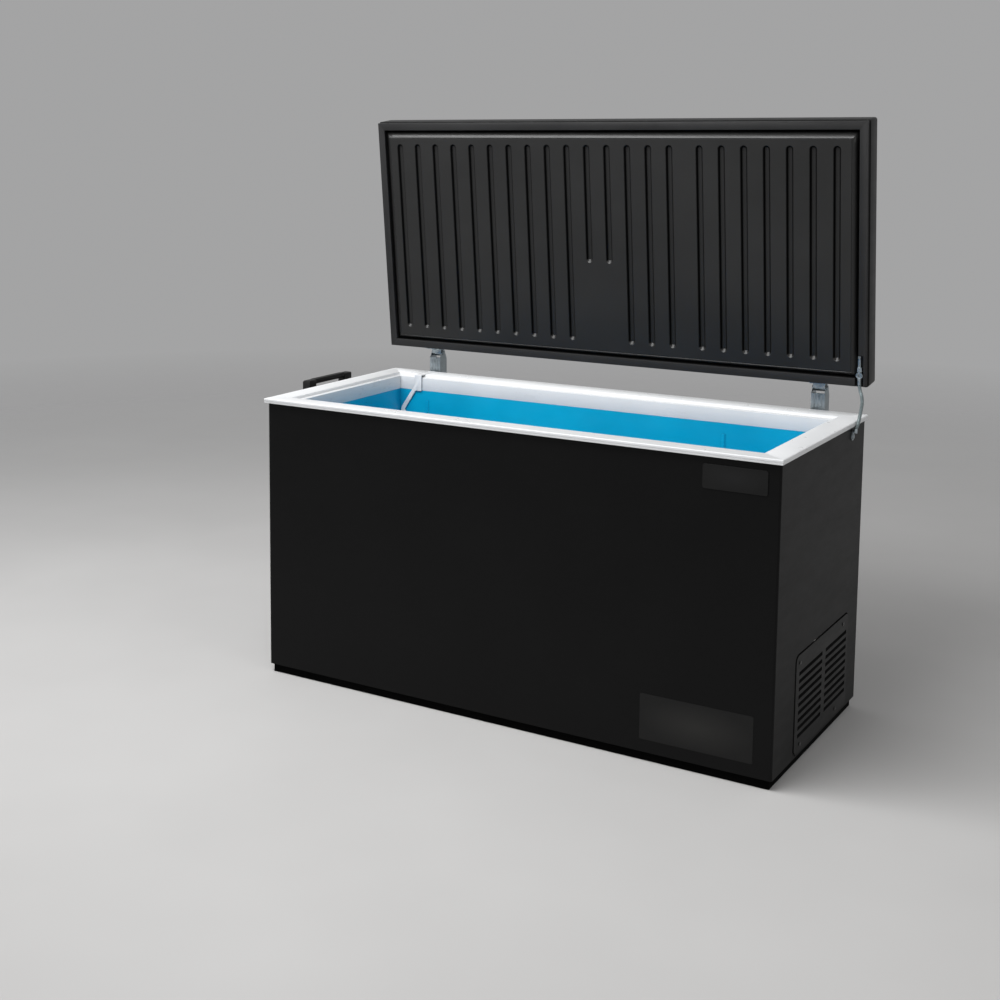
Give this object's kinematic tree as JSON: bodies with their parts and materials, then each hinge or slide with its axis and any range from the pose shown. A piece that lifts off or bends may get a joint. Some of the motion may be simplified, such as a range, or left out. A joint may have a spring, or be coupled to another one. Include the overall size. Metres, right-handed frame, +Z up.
{
  "type": "chest freezer",
  "caption": "Black chest freezer with a white rim, blue inner lining, a deep rear-hinged lid standing open on sprung hinges, a wire lid stay and a louvred machine bay.",
  "frame": {"origin": "middle of the footprint at floor level, on the underside of the middle plinth rail", "axes": "+X along the front towards the machine bay, +Y from the front panel to the back panel, +Z up"},
  "size_m": [1.5789, 0.746, 1.5951],
  "materials": {
    "black_paint": "satin",
    "zinc_sheet": "matte",
    "black_plastic": "matte",
    "dark_plinth": "matte",
    "foam": "matte",
    "blue_liner": "satin",
    "tube_aluminium": "satin",
    "white_plastic": "satin",
    "lid_inner": "satin",
    "soft_seal": "matte",
    "zinc_steel": "satin",
    "grey_plate": "satin",
    "black_enamel": "gloss",
    "copper_tube": "satin"
  },
  "bodies": {
    "cabinet": {"front_panel": "black_paint", "left_panel": "black_paint", "right_panel": "black_paint", "back_panel": "black_paint", "base_pan": "zinc_sheet", "front_plinth": "dark_plinth", "rear_plinth": "dark_plinth", "cross_plinths": "dark_plinth", "foam_insulation": "foam", "liner_front": "blue_liner", "liner_rear": "blue_liner", "liner_left": "blue_liner", "liner_right": "blue_liner", "liner_floor": "blue_liner", "liner_step": "blue_liner", "evaporator_coil": "tube_aluminium", "rim_front": "white_plastic", "rim_rear": "white_plastic", "rim_left": "white_plastic", "rim_right": "white_plastic", "hinge_brackets": "zinc_steel", "hinge_pins": "zinc_steel", "hinge_springs": "zinc_steel", "bracket_screws": "zinc_steel", "stay_rope": "zinc_steel", "stay_lower_clamp": "zinc_steel", "scraper_clip": "black_plastic", "handle_grip": "black_plastic", "handle_arms": "black_plastic", "handle_screws": "zinc_steel", "badge_plate": "grey_plate", "info_label": "grey_plate", "service_cover": "black_plastic", "cover_screws": "black_enamel", "bay_liner": "zinc_sheet", "compressor": "black_enamel", "compressor_feet": "black_enamel", "compressor_grommets": "soft_seal", "relay_box": "black_plastic", "condenser": "tube_aluminium", "fan_shroud": "black_plastic", "fan_motor": "black_enamel", "filter_dryer": "copper_tube", "refrigerant_pipes": "copper_tube", "thermostat": "black_plastic", "drain_tube": "white_plastic", "cord_gland": "soft_seal"},
    "lid": {"lid_shell": "black_paint", "lid_foam": "foam", "lid_liner": "lid_inner", "lid_gasket": "soft_seal", "hinge_leaves": "zinc_steel", "leaf_screws": "zinc_steel", "stay_upper_anchor": "zinc_steel"},
    "fan": {"fan_rotor": "tube_aluminium"},
    "knob": {"thermostat_knob": "black_plastic"},
    "plug": {"drain_plug": "white_plastic"},
    "scraper": {"ice_scraper": "white_plastic"}
  },
  "joints": [
    {"name": "lid_hinge", "type": "hinge", "parent": "cabinet", "child": "lid", "pos_m": [0, 0.38, 0.862], "axis": [1, 0, 0], "range_deg": [0, 83.5], "stiffness_Nm_per_rad": 24, "springref_deg": -20.63, "deforming": ["stay_rope"]},
    {"name": "fan_spin", "type": "hinge", "parent": "cabinet", "child": "fan", "pos_m": [0.6, -0.1, 0.158], "axis": [0, 1, 0], "continuous": true},
    {"name": "thermostat_turn", "type": "hinge", "parent": "cabinet", "child": "knob", "pos_m": [0.5, 0.335, 0.23], "axis": [0, 1, 0], "range_deg": [-140, 140]},
    {"name": "drain_plug_pull", "type": "slide", "parent": "cabinet", "child": "plug", "axis": [0, 0, 1], "range_m": [0, 0.025]},
    {"name": "scraper_lift", "type": "slide", "parent": "cabinet", "child": "scraper", "axis": [0, 0, -1], "range_m": [-0.05, 0]}
  ]
}
